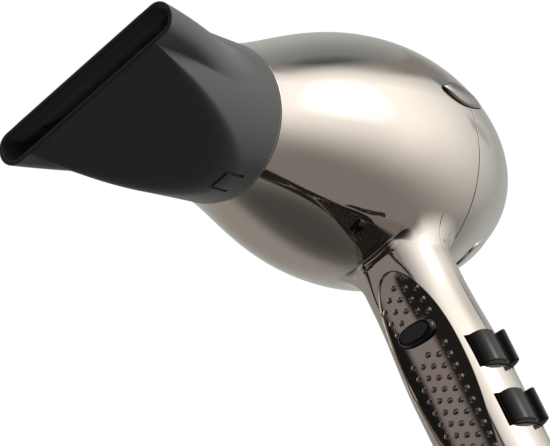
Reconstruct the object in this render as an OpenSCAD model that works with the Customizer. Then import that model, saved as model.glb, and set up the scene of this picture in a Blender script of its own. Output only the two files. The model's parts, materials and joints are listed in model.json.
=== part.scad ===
// Hair dryer with a pistol grip, a bulbous barrel and a flat concentrator nozzle.
// Origin: centre of the cord inlet's mouth, at the foot of the handle. +Z runs up the handle.
// The barrel's axis is parallel to Y; air leaves towards -Y. +X is the side with the rockers.

/* [Barrel] */
// Height of the barrel's axis above the cord inlet
barrel_z = 180; // [165:1:195]
// Radius at the front collar, where the nozzle meets the barrel
collar_r = 27.6; // [27.2:0.1:27.8]
// Largest radius of the barrel
barrel_r = 44.2; // [43.5:0.1:45.5]
// Distance from the handle's axis to the front collar
collar_y = 75; // [74:0.5:78]
// Distance from the handle's axis to the seam of the rear cover
seam_y = 17.5; // [17:0.1:18]
// Distance from the handle's axis to the rear rim
rear_y = 61.5; // [60:0.5:63]
// Wall thickness of the moulded shells
wall = 2.4; // [2.2:0.1:2.6]

/* [Nozzle] */
// Length of the nozzle from its rear rim to its mouth
nozzle_len = 70.4; // [68:0.2:74]
// Width of the mouth
mouth_w = 82.6; // [78:0.2:86]
// Height of the mouth
mouth_h = 11.6; // [11:0.2:13]
// Radius of the spigot that the nozzle turns on
spigot_r = 25.5; // [25.3:0.1:25.6]
// Length of the spigot
spigot_len = 18; // [16:0.5:18]

/* [Handle] */
// Radius of the handle
handle_r = 17.75; // [17.5:0.05:18.2]
// Distance from the handle's axis to its flat front
front_y = 13; // [12.6:0.1:13.4]
// Distance from the handle's axis to the parting line of its two shells
parting_y = 3; // [2.5:0.1:3.5]
// Height of the end cap
cap_h = 14; // [12:1:16]

/* [Controls] */
// Height of the cool-shot button below the barrel's axis
button_drop = 77.3; // [74:0.5:80]
// Travel of the cool-shot button
button_travel = 1.5; // [0.5:0.1:1.6]
// Height of the upper rocker's centre below the barrel's axis
rocker_drop = 94.85; // [92:0.5:96]
// Distance between the two rockers
rocker_pitch = 24.6; // [24:0.2:26]
// Height of each rocker
rocker_h = 12.9; // [12:0.1:13.4]

/* [Hidden] */
$fn = 96;

gap = 0.3;          // between pieces that move past each other
fit = 0.05;         // radial clearance of a running fit
over = 1;           // how far a cutter runs past what it cuts
button_z = barrel_z - button_drop;
upper_z = barrel_z - rocker_drop;
lower_z = upper_z - rocker_pitch;

// ---- Barrel profile: two Bezier curves that meet at the widest point ----
function bezier(a, b, c, d, t) =
    a * pow(1 - t, 3) + 3 * b * t * pow(1 - t, 2) + 3 * c * t * t * (1 - t) + d * pow(t, 3);
function curve(a, b, c, d, n) = [for (i = [0:n]) bezier(a, b, c, d, i / n)];

profile_n = 20;
crown_y = 1.5;      // where the barrel is widest
rear_r = 24.3;      // radius of the rear rim
front_curve = curve([-collar_y, collar_r], [-collar_y + 24, collar_r + 3.8],
                    [-collar_y + 44, barrel_r], [crown_y, barrel_r], profile_n);
rear_curve = curve([crown_y, barrel_r], [crown_y + 21.5, barrel_r],
                   [rear_y - 15.5, rear_r + 12.7], [rear_y, rear_r], profile_n);
profile = concat(front_curve, [for (i = [1:profile_n]) rear_curve[i]]);
function shell_r(y) = lookup(y, profile);

// Points of the profile between two places, offset inwards by d
function stretch(y0, y1, d) = concat(
    [[shell_r(y0) - d, y0]],
    [for (p = profile) if (p[0] > y0 + 0.1 && p[0] < y1 - 0.1) [p[1] - d, p[0]]],
    [[shell_r(y1) - d, y1]]);
function reversed(list) = [for (i = [len(list) - 1:-1:0]) list[i]];

// Local +Z becomes +Y, with its origin on the barrel's axis above the handle
module on_barrel() translate([0, 0, barrel_z]) rotate([-90, 0, 0]) children();
module turned(points) on_barrel() rotate_extrude() polygon(points);
module ring(r0, r1, y0, y1) on_barrel() translate([0, 0, y0]) difference() {
    cylinder(r = r1, h = y1 - y0);
    translate([0, 0, -over]) cylinder(r = r0, h = y1 - y0 + 2 * over);
}
module disc(r, y0, y1) on_barrel() translate([0, 0, y0]) cylinder(r = r, h = y1 - y0);
module spoke(r0, r1, w, y0, y1, angle) on_barrel() rotate([0, 0, angle])
    translate([r0, -w / 2, y0]) cube([r1 - r0, w, y1 - y0]);
// The solid inside the barrel's outer surface, grown by d
module barrel_envelope(y0, y1, d) turned(concat([[0, y0]], stretch(y0, y1, -d), [[0, y1]]));

// ---- A round rod or wire swept along a list of points ----
function unit(v) = v / norm(v);
function tangent(p, i) = unit(p[min(i + 1, len(p) - 1)] - p[max(i - 1, 0)]);
function ring_points(c, t, up, r, n) =
    let (side = unit(cross(t, up)), top = cross(side, t))
    [for (k = [0:n - 1]) c + r * cos(360 * k / n) * side + r * sin(360 * k / n) * top];
module sweep(p, r, up, n = 8) {
    last = len(p) - 1;
    points = [for (i = [0:last]) each ring_points(p[i], tangent(p, i), up, r, n)];
    sides = [for (i = [0:last - 1]) for (k = [0:n - 1])
        [i * n + k, i * n + (k + 1) % n, (i + 1) * n + (k + 1) % n, (i + 1) * n + k]];
    start_cap = [for (k = [n - 1:-1:0]) k];
    end_cap = [for (k = [0:n - 1]) last * n + k];
    polyhedron(points, concat([start_cap], sides, [end_cap]), convexity = 6);
}
// A helix about the local Z axis
function helix(r, h, turns, steps) =
    [for (i = [0:turns * steps])
        [r * cos(360 * i / steps), r * sin(360 * i / steps), h * i / (turns * steps)]];

// ---- Barrel ----
spigot_wall = 2.3;
spigot_end = -collar_y - spigot_len;
groove_y = -88;
groove_w = 1.1;
groove_r = 24.5;
rabbet_len = 5;
throat_r = 14.4;    // passage from the handle into the barrel
throat_front = 9;

module barrel_shell() color("#cdbfb4") difference() {
    union() {
        turned(concat(stretch(-collar_y, seam_y, 0), reversed(stretch(-collar_y, seam_y, wall))));
        ring(spigot_r - spigot_wall, spigot_r, spigot_end, -collar_y + 0.5);
        turned(concat(stretch(seam_y - 1, seam_y + rabbet_len, wall + gap),
                      reversed(stretch(seam_y - 1, seam_y + rabbet_len, wall + gap + 1.4))));
        ring(barrel_r - wall - gap - 1.6, barrel_r - wall + 0.4, seam_y - 2.5, seam_y - 1);
    }
    ring(groove_r, spigot_r + over, groove_y - groove_w / 2, groove_y + groove_w / 2);
    translate([0, 0, barrel_z - barrel_r - over]) linear_extrude(10) section(throat_r, throat_front);
    for (side = [-1, 1]) translate([side * 40 - 5, seam_y, barrel_z - 6]) cube([10, 8, 12]);
}

grille_y = -91;
module outlet_grille() color("#3a3a3c") {
    for (r = [6, 11, 16]) ring(r - 0.7, r + 0.7, grille_y, grille_y + 2);
    ring(20.6, spigot_r - spigot_wall - fit, grille_y, grille_y + 4);
    disc(2.4, grille_y, grille_y + 2);
    for (a = [0:60:300]) spoke(2, 21, 1.2, grille_y, grille_y + 2, a);
}

module snap_ring() color("#b9b9bd") on_barrel() translate([0, 0, groove_y])
    rotate_extrude() translate([25, 0]) circle(r = 0.45, $fn = 24);

// ---- Nozzle ----
nozzle_y0 = -collar_y - nozzle_len;
nozzle_rim_r = 28;
nozzle_flare_r = 31.2;
bore_len = spigot_len + 1;
slope_start = 19;   // where the top and bottom slopes leave the collar
horn_start = 30;    // where the side horns leave the collar
slit_w = 0.8;

module stadium(w, h, y, t) translate([0, y + t, barrel_z]) rotate([90, 0, 0])
    linear_extrude(t) union() {
        square([w - h, h], center = true);
        for (s = [-1, 1]) translate([s * (w - h) / 2, 0]) circle(d = h, $fn = 32);
    }
// The two sloped faces, as the outline of the nozzle seen from the side
module slope_wedge() translate([-50, 0, barrel_z]) rotate([90, 0, 90]) linear_extrude(100)
    polygon([[-collar_y + over, 35], [-collar_y + over, -35],
             [-collar_y - slope_start + 16, -35], [-collar_y - slope_start, -nozzle_rim_r],
             [nozzle_y0, -mouth_h / 2], [nozzle_y0, mouth_h / 2],
             [-collar_y - slope_start, nozzle_rim_r], [-collar_y - slope_start + 16, 35]]);

module nozzle_outside() union() {
    intersection() {
        on_barrel() translate([0, 0, nozzle_y0])
            cylinder(r1 = nozzle_flare_r, r2 = nozzle_rim_r, h = nozzle_len - gap);
        slope_wedge();
    }
    hull() {
        stadium(mouth_w, mouth_h, nozzle_y0, 0.5);
        stadium(54, 20, -collar_y - horn_start, 0.5);
    }
}
lip = 1.5;
module nozzle_inside() {
    disc(spigot_r + fit, -collar_y - bore_len, -collar_y + over);
    hull() {
        disc(22, -collar_y - bore_len - 0.5, -collar_y - bore_len + 0.5);
        stadium(45, 35, -collar_y - 32, 0.5);
    }
    hull() {
        stadium(45, 35, -collar_y - 32, 0.5);
        stadium(mouth_w - 2 * lip - 1, mouth_h - 2 * lip, nozzle_y0 + 4, 0.5);
    }
    stadium(mouth_w - 2 * lip - 1, mouth_h - 2 * lip, nozzle_y0 - over, 6);
}
// A three-sided slit that frees a springy latch tongue
module latch_slit() translate([0, -collar_y - 16, barrel_z - nozzle_rim_r - 2]) {
    translate([-4.7, -slit_w / 2, 0]) cube([9.4, slit_w, 6]);
    for (s = [-1, 1]) translate([s * (4.7 - slit_w / 2) - slit_w / 2, 0, 0])
        cube([slit_w, 8.5, 6]);
}
module nozzle() color("#232326") difference() {
    nozzle_outside();
    nozzle_inside();
    latch_slit();
}

// ---- Rear cover, its grille and its release tabs ----
inlet_r = 22;
tab_y0 = 2;
tab_len = 26;
tab_w = 8.5;
tab_lift = 1.3;     // how far a tab stands off the barrel
pin_y = 20.2;
pin_x = 39.6;
pin_r = 0.75;

// Leaf outline, blunt towards the nozzle and pointed towards the rear
function leaf(grow) = let (n = 16) concat(
    [for (i = [0:n]) let (s = i / n)
        [tab_y0 - grow + (tab_len + 2 * grow) * s, (tab_w / 2 + grow) * sin(180 * pow(s, 0.75))]],
    [for (i = [n - 1:-1:1]) let (s = i / n)
        [tab_y0 - grow + (tab_len + 2 * grow) * s, -(tab_w / 2 + grow) * sin(180 * pow(s, 0.75))]]);
module leaf_prism(side, grow) translate([0, 0, barrel_z]) rotate([90, 0, side * 90])
    linear_extrude(60) mirror([side > 0 ? 0 : 1, 0]) polygon(leaf(grow));
module at_pin(side) translate([side * pin_x, pin_y, barrel_z]) children();

module rear_cover() color("#cdbfb4") difference() {
    union() {
        turned(concat(stretch(seam_y + gap, rear_y, 0), [[inlet_r + fit, rear_y]],
                      [[inlet_r + fit, rear_y - 3.4]],
                      reversed(stretch(seam_y + gap, rear_y - 3.4, wall))));
        for (side = [-1, 1]) at_pin(side) for (s = [-1, 1])
            translate([-1.8, -2, s * 3.9 - 1.4]) cube([3.6, 4, 2.8]);
    }
    for (side = [-1, 1]) {
        at_pin(side) translate([0, 0, -5.4]) cylinder(r = pin_r + 0.01, h = 10.8, $fn = 24);
        at_pin(side) translate([-6, -2, -2.1]) cube([12, 4, 4.2]);
        intersection() {
            leaf_prism(side, 0.5);
            difference() {
                barrel_envelope(seam_y, tab_y0 + tab_len + 2, 2);
                barrel_envelope(seam_y - 1, tab_y0 + tab_len + 3, -1.1);
            }
        }
    }
}

module release_tab(side) difference() {
    union() {
        intersection() {
            leaf_prism(side, 0);
            difference() {
                barrel_envelope(tab_y0 - 1, tab_y0 + tab_len + 1, tab_lift);
                barrel_envelope(tab_y0 - 2, tab_y0 + tab_len + 2, gap);
            }
        }
        at_pin(side) translate([side > 0 ? -1.6 : -2.9, -1.6, -1.8]) cube([4.5, 3.2, 3.6]);
    }
    at_pin(side) translate([0, 0, -4]) cylinder(r = pin_r + fit, h = 8, $fn = 24);
}
module release_tab_left() color("#b8a99c") release_tab(1);
module release_tab_right() color("#b8a99c") release_tab(-1);

module tab_pins() color("#9a9aa0") for (side = [-1, 1])
    at_pin(side) translate([0, 0, -5.2]) cylinder(r = pin_r, h = 10.4, $fn = 24);

module inlet_grille() color("#2b2b2e") {
    for (r = [5, 9, 13, 17]) ring(r - 0.7, r + 0.7, rear_y - 2.6, rear_y - 0.8);
    ring(20.2, inlet_r, rear_y - 3.2, rear_y - 0.6);
    disc(2, rear_y - 2.6, rear_y - 0.8);
    for (a = [0:45:315]) spoke(1.6, 20.6, 1.1, rear_y - 2.6, rear_y - 0.8, a);
}

mesh_pitch = 4;
module filter_mesh() color("#77777c") on_barrel() translate([0, 0, rear_y - 4.2]) {
    linear_extrude(0.6) intersection() {
        circle(r = 23.2);
        union() for (i = [-5:5]) {
            translate([i * mesh_pitch - 0.25, -24]) square([0.5, 48]);
            translate([-24, i * mesh_pitch - 0.25]) square([48, 0.5]);
        }
    }
    linear_extrude(0.6) difference() {
        circle(r = 23.2);
        circle(r = 21.4);
    }
}

// ---- Heater ----
heater_y0 = -84;
heater_y1 = -30;
module heater_tube() color("#d9cfae") ring(21.6, 22.4, heater_y0, heater_y1);

module heater_cross() color("#e6dcc0") on_barrel() translate([0, 0, heater_y0 + 1])
    linear_extrude(heater_y1 - heater_y0 - 2) union() {
        square([36, 0.8], center = true);
        square([0.8, 36], center = true);
    }

coil_turns = 8;
module heater_coils() color("#b7673a") on_barrel() translate([0, 0, heater_y0 + 4])
    sweep(helix(19.2, heater_y1 - heater_y0 - 8, coil_turns, 24), 0.6, [0, 0, 1], 6);

module thermal_cutoff() color("#e9e6df") translate([5, heater_y1 - 12, barrel_z + 5]) difference() {
    cube([7, 10, 4]);
    translate([1.5, -over, -over]) cube([4, 12, 2]);
}

module ioniser() color("#2f5d8a") translate([0, -58, barrel_z + 23.2]) {
    translate([-5, 0, 0]) cube([10, 22, 5]);
    translate([0, -4, 2.5]) rotate([-90, 0, 0]) cylinder(r = 0.5, h = 5, $fn = 24);
}

// ---- Motor, fan and duct ----
motor_y0 = -20;
motor_y1 = 17;
motor_r = 16;
shaft_r = 1.5;
fan_y0 = 24;
fan_y1 = 38;
fan_r = 31.8;
duct_r = 32.6;

module fan_duct() color("#4a4a4e") {
    ring(duct_r, duct_r + 1.3, 6, 40);
    ring(duct_r + 0.6, barrel_r - wall - 0.6, 6, 8);
    ring(motor_r + 2, motor_r + 3.4, 2, 16);
    for (a = [0:40:320]) spoke(motor_r + 3, duct_r + 0.4, 1.4, 7, 16, a + 20);
}
module motor_sleeve() color("#1c1c1e") ring(motor_r + 0.02, motor_r + 1.98, 3, 15);

module motor_can() color("#a7a9ad") difference() {
    disc(motor_r, motor_y0, motor_y1);
    disc(motor_r - 1, motor_y0 + 3, motor_y1 + over);
    disc(4.02, motor_y0 - over, motor_y0 + 4);
}
module motor_magnets() color("#3c3c40") intersection() {
    ring(12.4, motor_r - 1.02, motor_y0 + 5, motor_y1 - 5);
    union() for (s = [-1, 1]) translate([-20, -60, barrel_z + (s > 0 ? 4 : -24)]) cube([40, 120, 20]);
}
module motor_end_bell() color("#e4e1d6") difference() {
    union() {
        disc(motor_r, motor_y1 + 0.02, motor_y1 + 3);
        ring(4.5, motor_r - 1.05, motor_y1 - 3, motor_y1 + 0.5);
    }
    disc(4.02, motor_y1 - 4, motor_y1 + 4);
    for (a = [0:90:270]) on_barrel() rotate([0, 0, a + 45]) translate([10, 0, motor_y1 - 5])
        cylinder(r = 2.2, h = 10, $fn = 24);
}
module motor_bearings() color("#d0d0d4") {
    ring(shaft_r + fit, 4, motor_y0 + 0.2, motor_y0 + 2.8);
    ring(shaft_r + fit, 4, motor_y1 - 2, motor_y1 + 2.4);
}
module rotor_shaft() color("#c9c9ce") disc(shaft_r, motor_y0 - 1.5, fan_y1 + 3);
module rotor_core() color("#8f5a34") {
    difference() {
        ring(shaft_r, 11.6, motor_y0 + 7, motor_y1 - 7);
        for (a = [0:60:300]) on_barrel() rotate([0, 0, a]) translate([10.8, -0.9, motor_y0 + 6])
            cube([3, 1.8, motor_y1 - motor_y0]);
    }
    ring(shaft_r, 4, motor_y1 - 6.9, motor_y1 - 3.2);
}
blade_count = 9;
module fan() color("#6c6f74") {
    ring(shaft_r, 9, fan_y0, fan_y1);
    for (i = [0:blade_count - 1]) on_barrel() rotate([0, 0, i * 360 / blade_count])
        translate([8, 0, (fan_y0 + fan_y1) / 2]) rotate([38, 0, 0])
            translate([0, -0.7, -7]) cube([fan_r - 8.6, 1.4, 14]);
}

// ---- Handle ----
pocket_y = 11.6;    // face of the grip panel
pocket_floor = 10.2;
inner_front = 9;
boss_r = 3.2;
screw_r = 1.3;
screw_z = [32, 128];
clamp_x = 8;
clamp_z = 20;
clamp_screw_r = 1.2;
rocker_y0 = -9.7;
rocker_y1 = 11;

module section(r, front) intersection() {
    circle(r = r);
    translate([-30, -front]) square([60, 60]);
}
// The leaf-shaped window of the grip panel, seen from the front
panel_top = 52;
panel_bottom = 160;
panel_w = 26.4;
function panel_half(s) = panel_w / 2 * pow(sin(180 * pow(s, 0.72)), 0.62);
function panel_outline(grow) = let (n = 24, z0 = barrel_z - panel_top + grow,
                                    z1 = barrel_z - panel_bottom - grow) concat(
    [for (i = [0:n]) let (s = i / n) [panel_half(s) + (i > 0 && i < n ? grow : 0), z0 + (z1 - z0) * s]],
    [for (i = [n - 1:-1:1]) let (s = i / n) [-panel_half(s) - grow, z0 + (z1 - z0) * s]]);
module panel_prism(y0, y1, grow) translate([0, y1, 0]) rotate([90, 0, 0])
    linear_extrude(y1 - y0) polygon(panel_outline(grow));
module oval(w, h, y0, y1) translate([0, y1, button_z]) rotate([90, 0, 0])
    linear_extrude(y1 - y0) union() {
        square([w - h, h], center = true);
        for (s = [-1, 1]) translate([s * (w - h) / 2, 0]) circle(d = h);
    }
button_w = 15.7;
button_h = 9.8;

module handle_body() difference() {
    translate([0, 0, cap_h]) linear_extrude(barrel_z - cap_h) section(handle_r, front_y);
    translate([0, 0, cap_h - over]) linear_extrude(barrel_z) section(handle_r - wall, inner_front);
    barrel_envelope(-40, 40, gap);
    for (z = [upper_z, lower_z]) translate([11, rocker_y0, z - rocker_h / 2 - gap])
        cube([12, rocker_y1 - rocker_y0, rocker_h + 2 * gap]);
}
module screw_holes() for (z = screw_z) translate([0, 0, z]) rotate([-90, 0, 0]) {
    translate([0, 0, -5]) cylinder(r = screw_r, h = 30, $fn = 32);
    translate([0, 0, parting_y]) cylinder(r = screw_r + 0.3, h = 30, $fn = 32);
    translate([0, 0, 13.5]) cylinder(r = 2.7, h = 8, $fn = 32);
}
module handle_front() color("#cdbfb4") difference() {
    union() {
        intersection() {
            handle_body();
            translate([-30, -30, 0]) cube([60, 30 + parting_y - 0.05, barrel_z]);
        }
        for (z = screw_z) translate([0, -inner_front - 0.5, z]) rotate([-90, 0, 0])
            cylinder(r = boss_r, h = inner_front + 0.5 + parting_y - 0.05, $fn = 32);
        for (s = [-1, 1]) translate([s * clamp_x, -inner_front - 0.5, clamp_z]) rotate([-90, 0, 0])
            cylinder(r = 2.6, h = inner_front + 0.5 - 6.05, $fn = 32);
    }
    for (s = [-1, 1]) translate([s * clamp_x, -inner_front - 0.2, clamp_z]) rotate([-90, 0, 0])
        cylinder(r = clamp_screw_r + 0.02, h = 6, $fn = 24);
    panel_prism(-30, -pocket_floor, 0.05);
    oval(button_w + 2 * gap, button_h + 2 * gap, -30, 0);
    screw_holes();
}
module handle_rear() color("#c4b5aa") difference() {
    union() {
        intersection() {
            handle_body();
            translate([-30, parting_y + 0.05, 0]) cube([60, 30, barrel_z]);
        }
        for (z = screw_z) translate([0, parting_y + 0.05, z]) rotate([-90, 0, 0])
            cylinder(r = boss_r + 0.6, h = handle_r - wall - parting_y, $fn = 32);
    }
    screw_holes();
}
module shell_screws() color("#8e8e93") for (z = screw_z) translate([0, 0, z]) rotate([-90, 0, 0]) {
    translate([0, 0, -4]) cylinder(r = screw_r - 0.02, h = 17.6, $fn = 32);
    difference() {
        translate([0, 0, 13.55]) cylinder(r = 2.5, h = 1.8, $fn = 32);
        translate([0, 0, 14.6]) cube([3.4, 0.6, 2], center = true);
        translate([0, 0, 14.6]) cube([0.6, 3.4, 2], center = true);
    }
}

// Rows of small raised grip studs, staggered from column to column
stud_r = 1;
stud_h = 0.5;
stud_x = 3.8;
stud_z = 4.8;
stud_margin = 1.6;
function panel_half_at(drop) = panel_half((drop - panel_top) / (panel_bottom - panel_top));
module stud(x, drop) if (panel_half_at(drop) > abs(x) + stud_margin)
    translate([x, -pocket_y + 0.1, barrel_z - drop]) rotate([90, 0, 0])
        cylinder(r = stud_r, h = stud_h + 0.1, $fn = 16);
module grip_panel() color("#a99b8f") difference() {
    union() {
        panel_prism(-pocket_y, -pocket_floor - 0.03, 0);
        for (c = [-2:2]) {
            for (i = [0:2]) stud(c * stud_x, 58.2 + (i + abs(c) / 2) * stud_z);
            for (i = [0:13]) stud(c * stud_x, 86.4 + (i + abs(c) % 2 / 2) * stud_z);
        }
    }
    oval(button_w + 2 * gap, button_h + 2 * gap, -30, 0);
}

flange_y = -8.6;
stem_len = 3.2;
switch_face = flange_y + stem_len + button_travel + gap;
module cool_shot_button() color("#101216") {
    oval(button_w, button_h, -14, flange_y);
    oval(button_w + 3, button_h + 3, flange_y, flange_y + 1);
    translate([0, flange_y, button_z]) rotate([-90, 0, 0]) cylinder(r = 1.8, h = stem_len, $fn = 32);
}
module button_spring() color("#b9b9bd") translate([0, flange_y + 1.4, button_z]) rotate([-90, 0, 0])
    sweep(helix(3, switch_face - flange_y - 1.9, 3, 16), 0.3, [0, 0, 1], 6);
module cool_shot_switch() color("#26262a") translate([0, switch_face, button_z]) {
    translate([-6, 0, -4.5]) cube([12, 7.4, 9]);
    for (s = [-1, 1]) translate([s * 3 - 0.4, 7, -1.5]) cube([0.8, 3, 3]);
}

// ---- Rockers and their switches ----
pivot = [12, 0.5];
hub_r = 2.6;
axle_r = 1;
function lobe_outline() = concat(
    curve([15.2, -8.7], [16.8, -8.7], [20.4, -5.6], [20.4, -3.2], 6),
    curve([20.4, -3.2], [20.4, -0.6], [19.3, -0.2], [19.6, 1.6], 6),
    curve([19.6, 1.6], [20.2, 3.2], [22.9, 2.8], [23, 5.6], 6),
    curve([23, 5.6], [23, 8.6], [20.5, 9.6], [16.6, 9.8], 6),
    [[14.6, 9.6], pivot + [-1.4, hub_r - 0.4], pivot + [-1.4, -hub_r + 0.4], [13.8, -8.2]]);
module rocker(z) translate([0, 0, z]) difference() {
    union() {
        translate([0, 0, -rocker_h / 2]) linear_extrude(rocker_h) polygon(lobe_outline());
        translate([pivot[0], pivot[1], -rocker_h / 2]) cylinder(r = hub_r, h = rocker_h, $fn = 48);
    }
    translate([pivot[0], pivot[1], -10]) cylinder(r = axle_r + fit, h = 20, $fn = 32);
}
module rocker_upper() color("#17181a") rocker(upper_z);
module rocker_lower() color("#17181a") rocker(lower_z);
module rocker_pins() color("#9a9aa0") for (z = [upper_z, lower_z])
    translate([pivot[0], pivot[1], z - 8.6]) cylinder(r = axle_r, h = 17.2, $fn = 32);

module switch_block(z) translate([0, 0, z]) difference() {
    union() {
        translate([-7, -5, -7]) cube([15.6, 11.5, 14]);
        for (s = [-1, 1]) translate([-7, -2.2, s * 7.9 - 0.9]) cube([20.6, 5, 1.8]);
        for (y = [-3, 1, 5]) translate([-8.1, y - 0.4, -2]) cube([1.6, 0.8, 4]);
    }
    translate([pivot[0], pivot[1], -10]) cylinder(r = axle_r + 0.01, h = 20, $fn = 32);
}
module switch_block_upper() color("#3a3b40") switch_block(upper_z);
module switch_block_lower() color("#3a3b40") switch_block(lower_z);

module control_board() color("#2c6b3f") difference() {
    union() {
        translate([-8.5, 9, 42]) cube([17, 1.4, 62]);
        for (z = [50, 68, 90]) translate([-5, 7.2, z]) cube([6, 1.8, 5]);
    }
    for (z = [45, 101]) translate([0, 12, z]) rotate([90, 0, 0]) cylinder(r = 1.2, h = 6, $fn = 24);
}

lead_r = 1.1;
lead_bend = 12;
function lead_route(x, y) = concat(
    [[x, y, 24], [x, y, 40], [x, y, 80], [x, y, 120]],
    [for (a = [0:15:90]) [x, y - lead_bend * (1 - cos(a)), 140 + lead_bend * sin(a)]],
    [[x, y - 20, 140 + lead_bend], [x, y - 33, 140 + lead_bend]]);
module power_leads() color("#8a2f2b") for (x = [-12.3, -9.4]) sweep(lead_route(x, -2.6), lead_r, [1, 0, 0]);

// ---- Foot of the handle ----
gland_r = 6.5;
cord_r = 4.2;
module handle_end_cap() color("#c4b5aa") difference() {
    intersection() {
        rotate_extrude() polygon(concat([[0, 0]],
            curve([13, 0], [15.6, 0], [handle_r, 3.4], [handle_r, 8], 8),
            [[handle_r, cap_h - 0.1], [0, cap_h - 0.1]]));
        translate([-30, -front_y, -1]) cube([60, 60, 40]);
    }
    translate([0, 0, 5]) linear_extrude(20) section(handle_r - wall, front_y - wall);
    translate([0, 0, -over]) cylinder(r = gland_r + 0.02, h = 20);
}
module cord_gland() color("#19191b") difference() {
    union() {
        cylinder(r = gland_r, h = 11);
        translate([0, 0, 5.05]) cylinder(r = gland_r + 2, h = 2);
    }
    translate([0, 0, -over]) cylinder(r = cord_r, h = 14);
}
module cord_clamp() color("#2f2f33") difference() {
    translate([-11, -6, clamp_z - 3]) cube([22, 4.5, 6]);
    translate([0, 0, clamp_z - 4]) cylinder(r = cord_r, h = 8);
    for (s = [-1, 1]) translate([s * clamp_x, -7, clamp_z]) rotate([-90, 0, 0])
        cylinder(r = clamp_screw_r + 0.05, h = 8, $fn = 24);
}
module clamp_screws() color("#8e8e93") for (s = [-1, 1])
    translate([s * clamp_x, 0, clamp_z]) rotate([-90, 0, 0]) {
        translate([0, 0, -8.9]) cylinder(r = clamp_screw_r, h = 8, $fn = 24);
        translate([0, 0, -1.45]) cylinder(r = 2.2, h = 1.4, $fn = 24);
    }

barrel_shell();
outlet_grille();
snap_ring();
nozzle();
rear_cover();
inlet_grille();
filter_mesh();
release_tab_left();
release_tab_right();
tab_pins();
heater_tube();
heater_cross();
heater_coils();
thermal_cutoff();
ioniser();
fan_duct();
motor_sleeve();
motor_can();
motor_magnets();
motor_end_bell();
motor_bearings();
rotor_shaft();
rotor_core();
fan();
handle_front();
handle_rear();
grip_panel();
cool_shot_button();
button_spring();
cool_shot_switch();
rocker_upper();
rocker_lower();
rocker_pins();
switch_block_upper();
switch_block_lower();
control_board();
power_leads();
handle_end_cap();
cord_gland();
cord_clamp();
clamp_screws();
shell_screws();
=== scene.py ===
"""Hair dryer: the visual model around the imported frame. Shapes are worked out in millimetres."""
import json
import math

import bmesh
import bpy
import numpy as np
from mathutils import Matrix, Vector


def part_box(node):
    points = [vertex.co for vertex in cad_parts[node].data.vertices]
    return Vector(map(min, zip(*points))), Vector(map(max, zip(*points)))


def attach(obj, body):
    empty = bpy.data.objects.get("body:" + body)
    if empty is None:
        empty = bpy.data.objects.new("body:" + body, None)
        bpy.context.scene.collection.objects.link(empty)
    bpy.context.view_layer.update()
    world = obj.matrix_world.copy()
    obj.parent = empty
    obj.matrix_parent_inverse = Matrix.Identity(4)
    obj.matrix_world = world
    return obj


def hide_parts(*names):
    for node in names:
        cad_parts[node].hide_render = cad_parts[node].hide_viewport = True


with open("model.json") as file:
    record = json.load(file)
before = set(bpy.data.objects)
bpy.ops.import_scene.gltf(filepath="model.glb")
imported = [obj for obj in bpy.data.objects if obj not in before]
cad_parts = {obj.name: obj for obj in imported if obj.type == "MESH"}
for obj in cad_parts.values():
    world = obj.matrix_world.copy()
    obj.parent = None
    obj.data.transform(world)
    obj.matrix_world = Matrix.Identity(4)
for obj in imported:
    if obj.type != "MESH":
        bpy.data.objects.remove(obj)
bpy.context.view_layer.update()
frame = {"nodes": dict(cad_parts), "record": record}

MM = 0.001


# ---------------------------------------------------------------- places taken from the frame
def span(node):
    """Lowest and highest corner of a CAD node, in millimetres."""
    low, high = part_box(node)
    return np.array(low) / MM, np.array(high) / MM


SHAFT_LOW, SHAFT_HIGH = span("rotor_shaft")
AXIS_Z = SHAFT_LOW[2] / 2 + SHAFT_HIGH[2] / 2
REAR_Y = span("rear_cover")[1][1]
CAD_GAP = 0.3  # clearance between the barrel and the nozzle or the rear cover
SEAM_Y = span("rear_cover")[0][1] - CAD_GAP
COLLAR_Y = span("nozzle")[1][1] + CAD_GAP
MOUTH_Y = span("nozzle")[0][1]
MOUTH_HALF = span("nozzle")[1][0]
CAP_Z = span("handle_end_cap")[1][2]
PANEL_LOW, PANEL_HIGH = span("grip_panel")
BUTTON_LOW, BUTTON_HIGH = span("cool_shot_button")
BUTTON_Z = (BUTTON_LOW[2] + BUTTON_HIGH[2]) / 2
ROCKER_Z = {key: float(span(key)[0][2] + span(key)[1][2]) / 2 for key in ("rocker_upper", "rocker_lower")}
ROCKER_H = float(span("rocker_upper")[1][2] - span("rocker_upper")[0][2])


# ---------------------------------------------------------------- small mathematics
def smoothstep(low, high, x):
    t = np.clip((np.asarray(x, float) - low) / (high - low), 0, 1)
    return t * t * (3 - 2 * t)


def soft_min(a, b, k):
    """The smaller of two values, rounded over a width k where they cross."""
    h = np.clip(0.5 + 0.5 * (b - a) / k, 0, 1)
    return b + (a - b) * h - k * h * (1 - h)


def soft_max(a, b, k):
    return -soft_min(-a, -b, k)


def bezier(a, b, c, d, count):
    t = np.linspace(0, 1, count)[:, None]
    a, b, c, d = (np.array(p, float) for p in (a, b, c, d))
    return a * (1 - t) ** 3 + 3 * b * t * (1 - t) ** 2 + 3 * c * t * t * (1 - t) + d * t**3


def resample(points, count):
    """The same line with evenly spaced points."""
    step = np.r_[0, np.cumsum(np.linalg.norm(np.diff(points, axis=0), axis=1))]
    at = np.linspace(0, step[-1], count)
    return np.stack([np.interp(at, step, points[:, i]) for i in range(points.shape[1])], 1)


CORNER_STEPS = 5


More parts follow.
